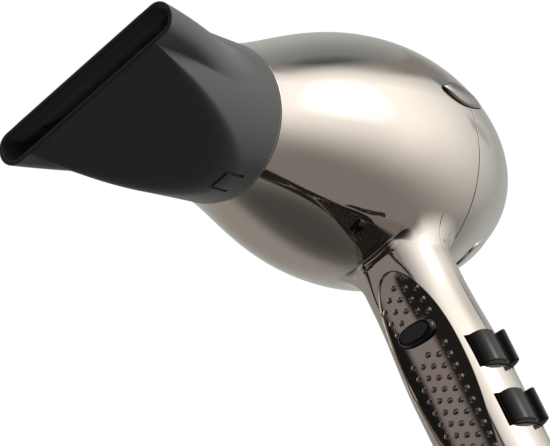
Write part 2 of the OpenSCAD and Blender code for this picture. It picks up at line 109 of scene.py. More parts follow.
def rounded(corners):
    """A line through (u, v, radius) corners, each corner turned with its radius."""
    out = []
    for i, (u, v, radius) in enumerate(corners):
        here = np.array([u, v], float)
        if radius <= 0:
            out.append(here)
            continue
        before = np.array(corners[i - 1][:2], float) - here
        after = np.array(corners[(i + 1) % len(corners)][:2], float) - here
        reach = min(radius, 0.45 * np.linalg.norm(before), 0.45 * np.linalg.norm(after))
        start = here + before / np.linalg.norm(before) * reach
        end = here + after / np.linalg.norm(after) * reach
        for t in np.linspace(0, 1, CORNER_STEPS):
            out.append(start * (1 - t) ** 2 + 2 * here * t * (1 - t) + end * t * t)
    return np.array(out)


# ---------------------------------------------------------------- meshes
SHARP = 40  # an edge that turns further than this is shaded sharp, in degrees


def make(name, points, faces, sharp):
    """A smooth-shaded mesh object from points in millimetres."""
    mesh = bpy.data.meshes.new(name)
    mesh.from_pydata((np.asarray(points, float) * MM).tolist(), [], [list(map(int, f)) for f in faces])
    mesh.validate()
    piece = bpy.data.objects.new(name, mesh)
    bpy.context.scene.collection.objects.link(piece)
    finish_shading(piece, sharp)
    return piece


def finish_shading(piece, sharp):
    mesh = piece.data
    mesh.shade_smooth()
    mesh.set_sharp_from_angle(angle=math.radians(sharp))


def grid_faces(rows, columns, closed_rows=False, closed_columns=False, first=0):
    """Quads between rows of points. Columns run inside a row."""
    r = np.arange(rows if closed_rows else rows - 1)
    c = np.arange(columns if closed_columns else columns - 1)
    r, c = (a.ravel() for a in np.meshgrid(r, c, indexing="ij"))
    r1, c1 = (r + 1) % rows, (c + 1) % columns
    quads = np.stack([r * columns + c, r * columns + c1, r1 * columns + c1, r1 * columns + c], 1)
    return (quads + first).tolist()


def outward(piece):
    """Turns every face of a closed mesh outwards."""
    work = bmesh.new()
    work.from_mesh(piece.data)
    bmesh.ops.recalc_face_normals(work, faces=work.faces)
    work.to_mesh(piece.data)
    work.free()
    return piece


def loft(name, rows, sharp=SHARP, closed_rows=False):
    """A closed mesh through equal rings of points, with a flat cap on each end unless the rows close."""
    rows = np.asarray(rows, float)
    count, around = rows.shape[:2]
    faces = grid_faces(count, around, closed_rows, True)
    if not closed_rows:
        faces += [list(range(around)), [(count - 1) * around + i for i in range(around - 1, -1, -1)]]
    return outward(make(name, rows.reshape(-1, 3), faces, sharp))


LATHE_STEPS = 288


def lathe(name, outline):
    """Turns a closed (y, radius) outline about the barrel's axis."""
    turn = np.linspace(0, 2 * np.pi, LATHE_STEPS, endpoint=False)
    y, r = outline[:, 0][:, None], outline[:, 1][:, None]
    rows = np.stack([r * np.sin(turn), y + 0 * turn, AXIS_Z + r * np.cos(turn)], 2)
    return loft(name, rows, closed_rows=True)


def applied(piece, sharp=SHARP):
    """Applies the piece's modifiers to its mesh."""
    graph = bpy.context.evaluated_depsgraph_get()
    mesh = bpy.data.meshes.new_from_object(piece.evaluated_get(graph))
    old = piece.data
    piece.modifiers.clear()
    piece.data = mesh
    mesh.name = piece.name
    bpy.data.meshes.remove(old)
    finish_shading(piece, sharp)
    return piece


def cut(piece, *cutters, sharp=SHARP):
    """Takes the cutters away from a piece."""
    for cutter in cutters:
        step = piece.modifiers.new("cut", "BOOLEAN")
        step.operation, step.object, step.solver = "DIFFERENCE", cutter, "EXACT"
    applied(piece, sharp)
    for cutter in cutters:
        bpy.data.objects.remove(cutter)
    return piece


def prism(name, outline, low, high, axis="z"):
    """A straight block with an (x, y) outline between two heights, or an (x, z) one along y."""
    outline = np.asarray(outline, float)
    rows = []
    for h in (low, high):
        a, b, c = outline[:, 0], outline[:, 1], np.full(len(outline), float(h))
        rows.append(np.stack([a, c, b] if axis == "y" else [a, b, c], 1))
    return loft(name, rows)


def bevel(piece, width, segments, angle):
    step = piece.modifiers.new("round", "BEVEL")
    step.width, step.segments, step.limit_method = width * MM, segments, "ANGLE"
    step.angle_limit = math.radians(angle)
    return applied(piece)


def joined(name, pieces):
    """One object from several meshes."""
    work = bmesh.new()
    for piece in pieces:
        work.from_mesh(piece.data)
    mesh = bpy.data.meshes.new(name)
    work.to_mesh(mesh)
    work.free()
    for piece in pieces:
        bpy.data.objects.remove(piece)
    whole = bpy.data.objects.new(name, mesh)
    bpy.context.scene.collection.objects.link(whole)
    finish_shading(whole, SHARP)
    return whole


# ---------------------------------------------------------------- materials
def material(name, color, roughness, metallic=0.0, specular=0.5, grain=None, wear=None, coat=0.0,
             sheen=0.0):
    """Principled material with procedural roughness variation and fine surface grain.
    grain is (scale, strength, distance in mm); wear is (scale, amount of roughness change)."""
    mat = bpy.data.materials.new(name)
    mat.use_nodes = True
    nodes, links = mat.node_tree.nodes, mat.node_tree.links
    shader = nodes["Principled BSDF"]
    shader.inputs["Base Color"].default_value = (*color, 1)
    shader.inputs["Metallic"].default_value = metallic
    shader.inputs["Roughness"].default_value = roughness
    shader.inputs["Specular IOR Level"].default_value = specular
    shader.inputs["Coat Weight"].default_value = coat
    shader.inputs["Sheen Weight"].default_value = sheen
    shader.inputs["Sheen Tint"].default_value = (0.95, 1.0, 0.96, 1)
    place = nodes.new("ShaderNodeTexCoord").outputs["Object"]
    if wear:
        noise = nodes.new("ShaderNodeTexNoise")
        noise.inputs["Scale"].default_value = wear[0]
        noise.inputs["Detail"].default_value = 4
        links.new(place, noise.inputs["Vector"])
        spread = nodes.new("ShaderNodeMapRange")
        spread.inputs["To Min"].default_value = max(0.0, roughness - wear[1])
        spread.inputs["To Max"].default_value = roughness + wear[1]
        links.new(noise.outputs["Fac"], spread.inputs["Value"])
        links.new(spread.outputs["Result"], shader.inputs["Roughness"])
        tint = nodes.new("ShaderNodeMix")
        tint.data_type = "RGBA"
        tint.inputs["A"].default_value = (*[c * 0.96 for c in color], 1)
        tint.inputs["B"].default_value = (*[min(1.0, c * 1.04) for c in color], 1)
        links.new(noise.outputs["Fac"], tint.inputs["Factor"])
        links.new(tint.outputs["Result"], shader.inputs["Base Color"])
    if grain:
        fine = nodes.new("ShaderNodeTexNoise")
        fine.inputs["Scale"].default_value = grain[0]
        fine.inputs["Detail"].default_value = 2
        links.new(place, fine.inputs["Vector"])
        bump = nodes.new("ShaderNodeBump")
        bump.inputs["Strength"].default_value = grain[1]
        bump.inputs["Distance"].default_value = grain[2] * MM
        links.new(fine.outputs["Fac"], bump.inputs["Height"])
        links.new(bump.outputs["Normal"], shader.inputs["Normal"])
    return mat


FINISH = {
    "shell": material("smoked_nickel", (0.82, 0.765, 0.71), 0.035, 1, wear=(60, 0.012)),
    "trim_grip": material("smoked_nickel_panel", (0.74, 0.68, 0.63), 0.05, 1, wear=(90, 0.02)),
    "nozzle_black": material(
        "satin_charcoal", (0.006, 0.0065, 0.0085), 0.42, specular=0.55,
        grain=(9000, 0.12, 0.05), wear=(35, 0.04), sheen=0.3),
    "switch_black": material(
        "satin_black", (0.006, 0.0065, 0.0065), 0.21, specular=0.5, grain=(7000, 0.08, 0.04),
        wear=(120, 0.04)),
    "button_black": material(
        "gloss_black", (0.006, 0.007, 0.010), 0.10, specular=0.5, wear=(150, 0.03), coat=0.4),
    "dark_plastic": material(
        "dark_plastic", (0.035, 0.035, 0.038), 0.45, grain=(5000, 0.1, 0.05), wear=(60, 0.06)),
    "steel": material(
        "drawn_steel", (0.58, 0.58, 0.60), 0.24, 1, grain=(2500, 0.1, 0.02), wear=(200, 0.08)),
    "mica": material(
        "mica_sheet", (0.62, 0.55, 0.38), 0.38, grain=(900, 0.25, 0.1), wear=(90, 0.12)),
    "nichrome": material("tinted_nichrome", (0.40, 0.27, 0.20), 0.34, 1, wear=(300, 0.12)),
    "motor_steel": material(
        "plated_steel", (0.52, 0.53, 0.55), 0.28, 1, grain=(1800, 0.12, 0.02), wear=(120, 0.08)),
    "magnet": material(
        "ferrite", (0.06, 0.06, 0.065), 0.6, grain=(1500, 0.4, 0.1), wear=(200, 0.1)),
    "copper": material(
        "enamelled_copper", (0.58, 0.27, 0.12), 0.26, 1, grain=(700, 0.3, 0.1), wear=(150, 0.1)),
    "ivory_plastic": material(
        "ivory_plastic", (0.74, 0.70, 0.60), 0.42, grain=(3000, 0.1, 0.05), wear=(60, 0.06)),
    "fan_grey": material(
        "glass_filled_nylon", (0.15, 0.155, 0.17), 0.5, grain=(2600, 0.2, 0.06), wear=(90, 0.08)),
    "blue_plastic": material(
        "potted_case", (0.03, 0.09, 0.22), 0.28, grain=(1200, 0.1, 0.05), wear=(90, 0.06)),
    "rubber": material(
        "soft_rubber", (0.018, 0.018, 0.02), 0.62, grain=(3500, 0.25, 0.06), wear=(70, 0.08)),
    "board_green": material(
        "solder_mask", (0.02, 0.12, 0.05), 0.26, grain=(500, 0.2, 0.06), wear=(120, 0.08)),
    "lead_red": material(
        "silicone_lead", (0.34, 0.03, 0.02), 0.48, grain=(2500, 0.15, 0.05), wear=(90, 0.06)),
    "screw_steel": material(
        "zinc_plate", (0.50, 0.50, 0.53), 0.3, 1, grain=(2200, 0.15, 0.02), wear=(220, 0.08)),
}


def dress(piece, slot, body, *stands_for):
    """Gives a new piece its finish, its body and the CAD nodes that it stands for."""
    piece.data.materials.clear()
    piece.data.materials.append(FINISH[slot])
    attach(piece, body)
    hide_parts(*stands_for)
    return piece


for part in frame["record"]["subparts"]:
    node = frame["nodes"][part["node"]]
    node.data.materials.clear()
    node.data.materials.append(FINISH[part["material_slot"]])

# ---------------------------------------------------------------- camera
EYE = Vector((0.6885, -1.3282, -0.6375))
CAMERA_RIGHT = Vector((0.6909, 0.6135, -0.3825))
CAMERA_UP = Vector((0.5870, -0.1672, 0.7922))
back = CAMERA_RIGHT.cross(CAMERA_UP).normalized()
lens = bpy.data.cameras.new("camera")
lens.lens, lens.sensor_width = 317, 36
lens.clip_start, lens.clip_end = 0.05, 60
camera = bpy.data.objects.new("camera", lens)
bpy.context.scene.collection.objects.link(camera)
camera.matrix_world = Matrix.Translation(EYE) @ Matrix(
    (CAMERA_RIGHT, CAMERA_UP.normalized(), back)).transposed().to_4x4()
bpy.context.scene.camera = camera

# ---------------------------------------------------------------- barrel
WALL = 2.4
EDGE = 0.12  # rounding of the shells' edges
CROWN_Y, CROWN_R, COLLAR_R, REAR_R = 1.5, 44.65, 27.75, 24.3
SPIGOT_END, SPIGOT_R, SPIGOT_BORE = -93, 25.5, 23.2  # what the nozzle is pushed on
GROOVE_REAR, GROOVE_FRONT, GROOVE_R = -87.45, -88.55, 24.5  # for the snap ring
LAP, LAP_GAP, LAP_WALL = 5, 0.3, 1.4  # tongue that the rear cover slides over
front_curve = bezier((COLLAR_Y, COLLAR_R), (COLLAR_Y + 24, COLLAR_R + 3.8),
                     (COLLAR_Y + 44, CROWN_R), (CROWN_Y, CROWN_R), 120)
rear_curve = bezier((CROWN_Y, CROWN_R), (CROWN_Y + 21.5, CROWN_R),
                    (REAR_Y - 15.5, REAR_R + 12.7), (REAR_Y, REAR_R), 100)
PROFILE = np.vstack([front_curve, rear_curve[1:]])


def barrel_r(y):
    return np.interp(y, PROFILE[:, 0], PROFILE[:, 1])


def skin(y0, y1, count, inset=0.0):
    """Corners along the barrel's profile, offset inwards."""
    y = np.linspace(y0, y1, count)
    return [(a, barrel_r(a) - inset, 0) for a in y]


barrel = rounded(
    [(COLLAR_Y, SPIGOT_R, 0.3), (COLLAR_Y, COLLAR_R, EDGE)]
    + skin(COLLAR_Y + 0.6, SEAM_Y - 0.6, 150)
    + [(SEAM_Y, barrel_r(SEAM_Y), EDGE), (SEAM_Y, barrel_r(SEAM_Y) - WALL - LAP_GAP, 0.2),
       (SEAM_Y + LAP, barrel_r(SEAM_Y + LAP) - WALL - LAP_GAP, 0.2),
       (SEAM_Y + LAP, barrel_r(SEAM_Y + LAP) - WALL - LAP_GAP - LAP_WALL, 0.2),
       (SEAM_Y - 2, barrel_r(SEAM_Y) - WALL - LAP_GAP - LAP_WALL, 0)]
    + skin(SEAM_Y - 5, COLLAR_Y + 3, 40, WALL)
    + [(COLLAR_Y - 1, SPIGOT_BORE, 0.5), (SPIGOT_END, SPIGOT_BORE, 0.3), (SPIGOT_END, SPIGOT_R, 0.5),
       (GROOVE_FRONT, SPIGOT_R, 0.15), (GROOVE_FRONT, GROOVE_R, 0), (GROOVE_REAR, GROOVE_R, 0),
       (GROOVE_REAR, SPIGOT_R, 0.15)])
dress(lathe("barrel_shell_skin", barrel), "shell", "housing", "barrel_shell")

INLET_R, INLET_DEPTH = 22.05, 3.4
COVER_Y = SEAM_Y + 0.5
cover = rounded(
    [(COVER_Y, barrel_r(SEAM_Y) - WALL, 0.2), (COVER_Y, barrel_r(COVER_Y), EDGE)]
    + skin(SEAM_Y + 0.9, REAR_Y - 1.2, 110)
    + [(REAR_Y, REAR_R, 1.1), (REAR_Y, INLET_R + 0.2, 0.3), (REAR_Y - INLET_DEPTH, INLET_R, 0.2)]
    + skin(REAR_Y - INLET_DEPTH, SEAM_Y + LAP, 40, WALL))
cover_skin = dress(lathe("rear_cover_skin", cover), "shell", "rear_cover", "rear_cover")

# low pad for the fingers under the rear cover
PAD_Y0, PAD_Y1, PAD_HALF, PAD_LIFT = 37.0, 50.0, 11.0, 0.7
PAD_SIDE, PAD_SUNK = 0.1, 0.4  # height of its edge above the cover, and how far it is let in
pad_rows = []
for t in 0.5 - 0.5 * np.cos(np.linspace(0.08, np.pi - 0.08, 36)):
    y = PAD_Y0 + (PAD_Y1 - PAD_Y0) * t
    u = np.cos(np.linspace(0, np.pi, 41))
    half = PAD_HALF * (1 - abs(2 * t - 1) ** 5) ** 0.4
    rise = PAD_LIFT * (1 - abs(2 * t - 1) ** 6) ** 0.5
    x = half * np.r_[u, u[::-1][1:-1]]
    r = np.r_[barrel_r(y) + PAD_SIDE + rise * (1 - abs(u) ** 6) ** 0.5,
              np.full(len(u) - 2, barrel_r(y) - PAD_SUNK)]
    pad_rows.append(np.stack([x, np.full(len(x), y), AXIS_Z - np.sqrt(r * r - x * x)], 1))
dress(loft("rear_cover_pad", pad_rows, sharp=60), "shell", "rear_cover", "rear_cover")

# ---------------------------------------------------------------- nozzle
NOZZLE_R, FLARE_R, LIP = 28.0, 31.2, 1.5
MOUTH_A, MOUTH_B = MOUTH_HALF, 6.15  # half width and half height of the mouth
SLOPE_Y, HORN_Y = COLLAR_Y - 19, COLLAR_Y - 17  # where the slopes and the flat horns begin
HORN_TAPER, HORN_CURVE, HORN_RISE = 8.3, 5.2, 4.0  # how the horns narrow and thicken towards the collar
SLOPE_BLEND, HORN_BLEND, MOUTH_BLEND = 3.6, 3.0, 0.04  # rounding between surfaces, least at the mouth
BORE_R, BORE_Y = 25.55, COLLAR_Y - 19
RIM_Y = COLLAR_Y - CAD_GAP
DUCT_START, DUCT_END, THROAT_Y = MOUTH_Y + 7, -107, -96
DUCT_A, DUCT_B, THROAT_R = 22.5, 17.5, 22.0  # the duct at its inner end, and the round throat

sweep = np.linspace(0, 2 * np.pi, 512, endpoint=False)
TURN = np.arctan2(0.3 * np.sin(sweep), np.cos(sweep))  # closer together towards the narrow ends
SIN, COS = np.abs(np.sin(TURN)), np.abs(np.cos(TURN))


def stadium_r(a, b):
    """Polar radius of a slot shape with half width a and half height b."""
    c = a - b
    flat = b / np.maximum(SIN, 1e-6)
    end = c * COS + np.sqrt(np.maximum(b * b - (c * SIN) ** 2, 0))
    return np.where(flat * COS <= c, flat, end)


def nozzle_r(y):
    """Outer radius of the nozzle at one station, for every direction in TURN."""
    t = (RIM_Y - y) / (RIM_Y - MOUTH_Y)
    near_mouth = smoothstep(0.7, 0.98, t)
    cone = NOZZLE_R + (FLARE_R - NOZZLE_R) * t**1.2
    half = NOZZLE_R + (MOUTH_B - NOZZLE_R) * (SLOPE_Y - y) / (SLOPE_Y - MOUTH_Y)
    body = soft_min(cone, half / np.maximum(SIN, 1e-3), SLOPE_BLEND * (1 - near_mouth) + MOUTH_BLEND)
    u = (HORN_Y - y) / (HORN_Y - MOUTH_Y)
    if u < -0.25:
        return body
    a = MOUTH_A - HORN_TAPER * (1 - u) - HORN_CURVE * (1 - u) ** 2
    b = MOUTH_B + HORN_RISE * (1 - u) ** 2
    return soft_max(body, stadium_r(max(a, b + 2), b), HORN_BLEND * (1 - near_mouth) + MOUTH_BLEND)


def duct_r(y):
    """Inner radius of the nozzle."""
    a0, b0 = MOUTH_A - LIP, MOUTH_B - LIP
    u = np.clip((DUCT_START - y) / (DUCT_START - DUCT_END), 0, 1)
    slot = stadium_r(a0 + (DUCT_A - a0) * u, b0 + (DUCT_B - b0) * u)
    bore = slot + (THROAT_R - slot) * smoothstep(DUCT_END, THROAT_Y, y)
    return np.minimum(bore, nozzle_r(y) - LIP) if y > MOUTH_Y + 1 else bore


def nozzle_rows():
    """Rings of the nozzle: collar, outside, lip of the mouth and inside."""
    collar = ((0.6, BORE_R), (0.15, BORE_R + 0.12), (0, BORE_R + 0.5), (0, NOZZLE_R - 0.55),
              (0.16, NOZZLE_R - 0.16))
    lip = ((0.2, 0.08), (0.06, 0.24), (0, 0.5), (0, LIP - 0.42), (0.08, LIP - 0.16), (0.35, LIP))
    outside = np.r_[np.linspace(RIM_Y - 0.55, -92, 22), np.linspace(-93, MOUTH_Y + 2, 84),
                    np.linspace(MOUTH_Y + 1.6, MOUTH_Y + 0.45, 5)]
    inside = np.r_[MOUTH_Y + 2, MOUTH_Y + 6.5, np.linspace(MOUTH_Y + 8, THROAT_Y, 26), BORE_Y - 0.2]
    rows = [(RIM_Y - depth, np.full(len(TURN), r)) for depth, r in collar]
    rows += [(y, nozzle_r(y)) for y in outside]
    rows += [(MOUTH_Y + depth, stadium_r(MOUTH_A - inset, MOUTH_B - inset)) for depth, inset in lip]
    rows += [(y, duct_r(y)) for y in inside]
    rows.append((BORE_Y - 0.2, np.full(len(TURN), BORE_R)))
    return [np.stack([r * np.cos(TURN), np.full(len(TURN), float(y)), AXIS_Z + r * np.sin(TURN)], 1)
            for y, r in rows]


SLIT = 1.25  # width of the three-sided slit round the latch tongue
SLIT_HALF, SLIT_Y, SLIT_ARM = 4.7, COLLAR_Y - 16, 8.5
SLIT_BELOW, SLIT_ABOVE = AXIS_Z - 34, AXIS_Z - 26.3
latch = np.array([
    (-SLIT_HALF, -SLIT / 2), (SLIT_HALF, -SLIT / 2), (SLIT_HALF, SLIT_ARM), (SLIT_HALF - SLIT, SLIT_ARM),
    (SLIT_HALF - SLIT, SLIT / 2), (SLIT - SLIT_HALF, SLIT / 2), (SLIT - SLIT_HALF, SLIT_ARM),
    (-SLIT_HALF, SLIT_ARM)]) + [0, SLIT_Y]
nozzle = loft("nozzle_body", nozzle_rows(), closed_rows=True)
cut(nozzle, prism("latch_cut", latch, SLIT_BELOW, SLIT_ABOVE), sharp=35)
dress(nozzle, "nozzle_black", "nozzle", "nozzle")

# ---------------------------------------------------------------- handle surface
GRIP_Y, GRIP_R, WAIST_R, FACET_Y, FACET_HALF = 1.4, 18.35, 16.7, -13.0, 14.0
PARTING = math.radians(93)  # from the front towards the side, where the two shells meet
PARTING_GAP = 0.28
WINDOW_TOP, WINDOW_BOTTOM, WINDOW_HALF = AXIS_Z - PANEL_HIGH[2], AXIS_Z - PANEL_LOW[2], PANEL_HIGH[0]
FACET_RISE = 1.3  # how much further forward the facet is at the neck
PANEL_DEEP, PANEL_SHALLOW, PANEL_CROWN = 1.3, 0.3, 60.0  # how the panel sinks, rises and is crowned
FLOOR_DEPTH, FLOOR_Y = 0.85, -9.45  # floor of the window behind the panel
NECK = 61.0  # drop below the axis at which the handle starts to turn into the barrel
SEAM_DROP, SEAM_HALF, SEAM_DEPTH = 46.6, 0.55, 1.1  # level seam across the top of the grip


def grip_r(drop):
    return WAIST_R + (GRIP_R - WAIST_R) * smoothstep(58, 98, drop)


def face_y(x, drop):
    """Front surface of the grip, with its flat facet."""
    round_y = GRIP_Y - np.sqrt(np.maximum(grip_r(drop) ** 2 - x * x, 0))
    return soft_max(round_y, FACET_Y - FACET_RISE * (1 - smoothstep(46, 60, drop)), 0.3)


def window_half(drop):
    s = np.clip((drop - WINDOW_TOP) / (WINDOW_BOTTOM - WINDOW_TOP), 0, 1)
    return WINDOW_HALF * np.maximum(np.sin(np.pi * s**0.72), 0) ** 0.62


def panel_y(x, drop):
    """Face of the grip panel: flush with the facet at its top, then sunk and gently crowned."""
    sink = PANEL_DEEP * smoothstep(52, 76, drop) - PANEL_SHALLOW * smoothstep(84, 110, drop)
    return FACET_Y + sink + x * x / (2 * PANEL_CROWN)


def barrel_drop(x, y):
    """How far below the axis the barrel's underside is."""
    return np.sqrt(np.maximum(barrel_r(y) ** 2 - x * x, 0))


def from_front(angle):
    """Degrees between a direction and the front of the handle."""
    return np.degrees(abs((angle + np.pi) % (2 * np.pi) - np.pi))


FILLET_FRONT, FILLET_SIDE, FILLET_REAR = 1.6, 13.0, 4.0


def fillet(angle):
    """Radius of the fillet between the handle and the barrel, by direction."""
    a = from_front(angle)
    front = FILLET_FRONT + (FILLET_SIDE - FILLET_FRONT) * smoothstep(30, 66, a)
    return front - (FILLET_SIDE - FILLET_REAR) * smoothstep(112, 160, a)


def neck_arc(angle):
    """The fillet on the neck at one direction, from the handle's side to the barrel, as (run, drop)."""
    x0, y0 = WAIST_R * math.sin(angle), GRIP_Y - WAIST_R * math.cos(angle)
    if abs(x0) < FACET_HALF and y0 < 0:
        y0 = float(face_y(x0, NECK))
    f = float(fillet(angle))
    run = np.linspace(0, 2 * f, 400)
    under = barrel_drop(x0 + run * math.sin(angle), y0 - run * math.cos(angle))
    reach = under + np.sqrt(np.maximum(f * f - (run - f) ** 2, 0))
    centre, touch = np.max(reach), run[np.argmax(reach)]
    turn = np.linspace(np.pi, math.acos(np.clip((touch - f) / f, -1, 1)), 48)
    return np.stack([f + f * np.cos(turn), centre - f * np.sin(turn)], 1)


def run_at(arc, drop):
    return np.interp(-drop, -arc[:, 1], arc[:, 0], left=0.0)


def seam_depth(angle, drop):
    """Depth of the level seam across the front of the grip."""
    across = np.clip(1 - (abs(drop - SEAM_DROP) / SEAM_HALF) ** 3, 0, 1)
    return SEAM_DEPTH * across * (1 - smoothstep(12, 27, from_front(angle)))


def ring_at(section, drop):
    """Outer points of the handle at one drop, neck included."""
    x, y = section(drop)
    if drop < NECK:
        angle = np.arctan2(x, GRIP_Y - y)
        run = np.array([run_at(neck_arc(a), drop) for a in angle]) - seam_depth(angle, drop)
        x, y = x + run * np.sin(angle), y - run * np.cos(angle)
    return np.stack([x, y, np.full(len(x), AXIS_Z - drop)], 1)


def neck_top(section, drop, count):
    """Rows from one drop up to where the handle meets the barrel."""
    x, y = section(drop)
    columns = []
    for a, b in zip(x, y):
        angle = math.atan2(a, GRIP_Y - b)
        arc = neck_arc(angle)
        start = np.array([run_at(arc, drop), drop])
        path = resample(np.vstack([start, arc[arc[:, 1] < drop - 1e-6]]), count + 1)[1:]
        columns.append(np.stack([a + path[:, 0] * math.sin(angle), b - path[:, 0] * math.cos(angle),
                                 AXIS_Z - path[:, 1]], 1))
    return list(np.stack(columns, 1))


INNER_FRONT_Y, INNER_TOP_DROP = -9.0, 40.5  # how far forward and up the inside of the handle reaches
SHELL_SHARP = 32


def thin_shell(name, outer, wall):
    """A closed shell from outer rows, with an inner side one wall further in."""
    outer = np.asarray(outer)
    rows, columns = outer.shape[:2]
    inner = outer.copy()
    for i in range(rows):
        if outer[i][0][2] <= AXIS_Z - NECK:
            r = np.hypot(outer[i, :, 0], outer[i, :, 1] - GRIP_Y)
            k = (r - wall) / r
            inner[i, :, 0] = outer[i, :, 0] * k
            inner[i, :, 1] = np.maximum(GRIP_Y + (outer[i, :, 1] - GRIP_Y) * k, INNER_FRONT_Y)
        else:
            inner[i, :, :2] = inner[i - 1, :, :2]
        inner[i, :, 2] = np.minimum(outer[i, :, 2], AXIS_Z - INNER_TOP_DROP + 0.001 * i)
    first = rows * columns
    faces = grid_faces(rows, columns) + grid_faces(rows, columns, first=first)
    for i in range(columns - 1):
        faces.append([i, i + 1, first + i + 1, first + i])
        a = (rows - 1) * columns + i
        faces.append([a, a + 1, first + a + 1, first + a])
    for i in range(rows - 1):
        for c in (0, columns - 1):
            a = i * columns + c
            faces.append([a, a + columns, first + a + columns, first + a])
    points = np.vstack([outer.reshape(-1, 3), inner.reshape(-1, 3)])
    return outward(make(name, points, faces, SHELL_SHARP))


SIDE_COLUMNS = 84
RIM, RIM_STEP = 0.22, 0.16  # rounding of the window's edge, and the step from there to its floor
RIM_T = np.array([0.999, 0.72, 0.45, 0.2, 0.0])
EDGE_STEPS = ((1.0, 0.0), (0.3, 0.3), (0.0, 1.0))  # (back from the edge, inwards) in shares of EDGE


def edge_points(angle, r, side):
    """The rounded edge of a shell at a parting line. Side is +1 where the shell ends clockwise of it."""
    out = [(angle - side * back * EDGE / r, r - inward * EDGE) for back, inward in EDGE_STEPS]
    return np.array(out)


def front_half(drop):
    """(x, y) from the middle of the front to the parting line on the +X side."""
    r, w = float(grip_r(drop)), max(float(window_half(drop)), 0.9)
    sunk = float(smoothstep(WINDOW_TOP, WINDOW_TOP + 1.6, drop)
                 * (1 - smoothstep(WINDOW_BOTTOM - 1.6, WINDOW_BOTTOM, drop)))
    floor_x = np.linspace(0, w - RIM - RIM_STEP, 16)
    deep = min(float(panel_y(w, drop)) + FLOOR_DEPTH, FLOOR_Y)
    floor_y = face_y(floor_x, drop) * (1 - sunk) + deep * sunk
    rim_x = w - RIM * RIM_T
    rim_y = face_y(rim_x, drop) + sunk * RIM * (1 - np.sqrt(1 - RIM_T**2))
    ends = edge_points(PARTING, r, 1)
    start = math.asin(min(w / r, 1))
    ease = np.linspace(0, 1, SIDE_COLUMNS + 1)[1:]
    angle = start + (ends[0, 0] - start) * (0.75 * ease + 0.25 * ease**2)
    side_x = r * np.sin(angle)
    side_y = np.where(angle < 1.4, face_y(side_x, drop), GRIP_Y - r * np.cos(angle))
    end_x, end_y = ends[1:, 1] * np.sin(ends[1:, 0]), GRIP_Y - ends[1:, 1] * np.cos(ends[1:, 0])
    return np.r_[floor_x, rim_x, side_x, end_x], np.r_[floor_y, rim_y, side_y, end_y]


def front_section(drop):
    x, y = front_half(drop)
    return np.r_[-x[:0:-1], x], np.r_[y[:0:-1], y]


def rear_section(drop):
    r = float(grip_r(drop))
    gap = PARTING_GAP / r
    first, last = edge_points(PARTING + gap, r, -1)[::-1], edge_points(2 * np.pi - PARTING - gap, r, 1)
    between = np.linspace(first[-1, 0], last[0, 0], 170)[1:-1]
    angle = np.r_[first[:, 0], between, last[:, 0]]
    radius = np.r_[first[:, 1], np.full(len(between), r), last[:, 1]]
    return radius * np.sin(angle), GRIP_Y - radius * np.cos(angle)


BUTTON_HALF_W, BUTTON_HALF_H, BUTTON_LEAN, BUTTON_SQUARE = 7.9, 4.05, math.radians(10), 2.25
BUTTON_GAP, ROCKER_GAP = 0.25, 0.3


def button_outline(grow, count=72):
    """Outline of the cool-shot button in x and z: a fullish oval that leans a little."""
    a = np.linspace(0, 2 * np.pi, count, endpoint=False)
    c, s = np.cos(a), np.sin(a)
    u = (BUTTON_HALF_W + grow) * np.sign(c) * abs(c) ** (2 / BUTTON_SQUARE)
    v = (BUTTON_HALF_H + grow) * np.sign(s) * abs(s) ** (2 / BUTTON_SQUARE)
    c, s = math.cos(BUTTON_LEAN), math.sin(BUTTON_LEAN)
    return np.stack([u * c + v * s, BUTTON_Z + v * c - u * s], 1)


def button_hole(name):
    return prism(name, button_outline(BUTTON_GAP), -20, -6, "y")


def rocker_slots(prefix):
    half = ROCKER_H / 2 + ROCKER_GAP
    block = [(11.0, -9.6), (26.0, -9.6), (26.0, 7.4), (11.0, 7.4)]
    return [prism(prefix + key, block, z - half, z + half) for key, z in ROCKER_Z.items()]


seam_steps = np.array([0, 0.3, 0.6, 0.85, 1.0, 1.2, 1.8])
seam_drops = SEAM_DROP + SEAM_HALF * np.r_[seam_steps[:0:-1], -seam_steps]
foot = AXIS_Z - CAP_Z - 0.15
front_drops = np.r_[
    foot, foot - 0.3, np.linspace(foot - 2, WINDOW_BOTTOM, 3),
    np.linspace(WINDOW_BOTTOM - 0.2, WINDOW_BOTTOM - 4, 16),
    np.linspace(WINDOW_BOTTOM - 5.4, WINDOW_TOP + 10.6, 70),
    np.linspace(WINDOW_TOP + 9.4, WINDOW_TOP + 2.5, 10),
    np.linspace(WINDOW_TOP + 2.1, WINDOW_TOP - 0.2, 14),
    np.linspace(WINDOW_TOP - 1, seam_drops[0] + 0.8, 5), seam_drops]
rear_drops = np.r_[np.linspace(foot, WINDOW_TOP + 10, 36), np.linspace(WINDOW_TOP + 9, seam_drops[-1], 16)]
for name, section, drops, cutters in (
        ("handle_front", front_section, front_drops, [button_hole("button_cut")]),
        ("handle_rear", rear_section, rear_drops, [])):
    rows = [ring_at(section, d) for d in drops] + neck_top(section, drops[-1], 26)
    piece = thin_shell(name + "_skin", rows, WALL)
    cut(piece, *cutters, *rocker_slots(name), sharp=SHELL_SHARP)
    dress(piece, "shell", "housing", name)

# ---------------------------------------------------------------- grip panel and its studs
STUD_R, STUD_H, STUD_X, STUD_Z, STUD_MARGIN = 0.85, 0.36, 3.8, 4.8, 1.6
PANEL_THICK, PANEL_GAP = 0.65, 0.14


